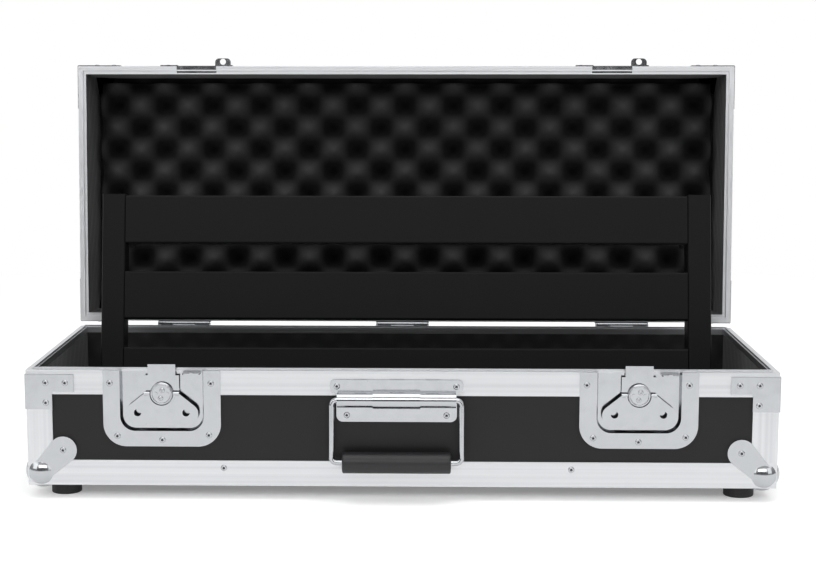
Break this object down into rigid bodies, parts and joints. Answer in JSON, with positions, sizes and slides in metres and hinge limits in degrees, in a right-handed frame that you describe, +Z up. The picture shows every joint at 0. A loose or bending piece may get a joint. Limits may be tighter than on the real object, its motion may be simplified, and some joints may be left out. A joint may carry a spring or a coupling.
{
  "type": "guitar pedal case",
  "caption": "Black flight case for guitar pedals, open, with silver edges, butterfly latches, foam-lined lid and a railed pedalboard standing in the base.",
  "frame": {"origin": "on the floor, under the middle of the whole open case with its handle", "axes": "+Z up, the front with the latches and the handle toward -Y, the case's length along X"},
  "size_m": [0.7094, 0.4071, 0.4092],
  "materials": {
    "panel_black": "black laminate face, satin",
    "trim_aluminium": "satin",
    "hardware_chrome": "polished",
    "foot_rubber": "matte",
    "lining_cloth": "matte",
    "foam_black": "matte",
    "grip_black": "gloss",
    "board_black": "satin"
  },
  "bodies": {
    "base": {"base_ball_corners": "hardware_chrome", "base_corner_angles": "trim_aluminium", "base_corner_braces": "hardware_chrome", "base_edge_angles": "trim_aluminium", "base_end_pad_left": "foam_black", "base_end_pad_right": "foam_black", "base_feet": "foot_rubber", "base_lining": "lining_cloth", "base_panel_bottom": "panel_black", "base_panel_front": "panel_black", "base_panel_left": "panel_black", "base_panel_rear": "panel_black", "base_panel_right": "panel_black", "base_rim_front": "trim_aluminium", "base_rim_left": "trim_aluminium", "base_rim_rear": "trim_aluminium", "base_rim_right": "trim_aluminium", "base_rivets": "hardware_chrome", "handle_plate": "hardware_chrome", "hinge_base_leaves": "hardware_chrome", "hinge_pins": "hardware_chrome", "latch_dish_left": "hardware_chrome", "latch_dish_right": "hardware_chrome"},
    "lid": {"hinge_lid_leaves": "hardware_chrome", "latch_keeper_left": "hardware_chrome", "latch_keeper_right": "hardware_chrome", "lid_ball_corners": "hardware_chrome", "lid_corner_angles": "trim_aluminium", "lid_corner_braces": "hardware_chrome", "lid_edge_angles": "trim_aluminium", "lid_foam": "foam_black", "lid_lining": "lining_cloth", "lid_panel_front": "panel_black", "lid_panel_left": "panel_black", "lid_panel_rear": "panel_black", "lid_panel_right": "panel_black", "lid_panel_top": "panel_black", "lid_rim_front": "trim_aluminium", "lid_rim_left": "trim_aluminium", "lid_rim_rear": "trim_aluminium", "lid_rim_right": "trim_aluminium", "lid_rivets": "hardware_chrome"},
    "board": {"board_end_left": "board_black", "board_end_right": "board_black", "board_feet": "foot_rubber", "board_rail_1": "board_black", "board_rail_2": "board_black", "board_rail_3": "board_black"},
    "handle": {"handle_bail": "hardware_chrome", "handle_grip": "grip_black"},
    "rotor_left": {"latch_rotor_left": "hardware_chrome"},
    "wing_left": {"latch_wing_left": "hardware_chrome"},
    "hook_left": {"latch_hook_left": "hardware_chrome"},
    "rotor_right": {"latch_rotor_right": "hardware_chrome"},
    "wing_right": {"latch_wing_right": "hardware_chrome"},
    "hook_right": {"latch_hook_right": "hardware_chrome"}
  },
  "joints": [
    {"name": "lid_hinge", "type": "hinge", "parent": "base", "child": "lid", "pos_m": [0, 0.09274, 0.1255], "axis": [1, 0, 0], "range_deg": [0, 94]},
    {"name": "board_tilt", "type": "hinge", "parent": "base", "child": "board", "pos_m": [0.0024, -0.11336, 0.1134], "axis": [-1, 0, 0], "range_deg": [0, 67.2]},
    {"name": "handle_swing", "type": "hinge", "parent": "base", "child": "handle", "pos_m": [-0.004, -0.19016, 0.0969], "axis": [-1, 0, 0], "range_deg": [0, 95]},
    {"name": "latch_turn_left", "type": "hinge", "parent": "base", "child": "rotor_left", "pos_m": [-0.2229, -0.18316, 0.1013], "axis": [0, 1, 0], "range_deg": [0, 180]},
    {"name": "wing_fold_left", "type": "hinge", "parent": "rotor_left", "child": "wing_left", "pos_m": [-0.2229, -0.18466, 0.1013], "axis": [-1, 0, 0], "range_deg": [0, 90]},
    {"name": "hook_draw_left", "type": "slide", "parent": "base", "child": "hook_left", "axis": [0, 0.848, -0.53], "range_m": [0, 0.00189]},
    {"name": "latch_turn_right", "type": "hinge", "parent": "base", "child": "rotor_right", "pos_m": [0.2206, -0.18316, 0.1013], "axis": [0, 1, 0], "range_deg": [0, 180]},
    {"name": "wing_fold_right", "type": "hinge", "parent": "rotor_right", "child": "wing_right", "pos_m": [0.2206, -0.18466, 0.1013], "axis": [-1, 0, 0], "range_deg": [0, 90]},
    {"name": "hook_draw_right", "type": "slide", "parent": "base", "child": "hook_right", "axis": [0, 0.848, -0.53], "range_m": [0, 0.00189]}
  ],
  "couplings": [
    {"joint": "board_tilt", "follows": "lid_hinge", "ratio": 0.7148},
    {"joint": "wing_fold_left", "follows": "latch_turn_left", "ratio": 0.5},
    {"joint": "hook_draw_left", "follows": "latch_turn_left", "m_per_rad": 0.0006},
    {"joint": "wing_fold_right", "follows": "latch_turn_right", "ratio": 0.5},
    {"joint": "hook_draw_right", "follows": "latch_turn_right", "m_per_rad": 0.0006}
  ]
}
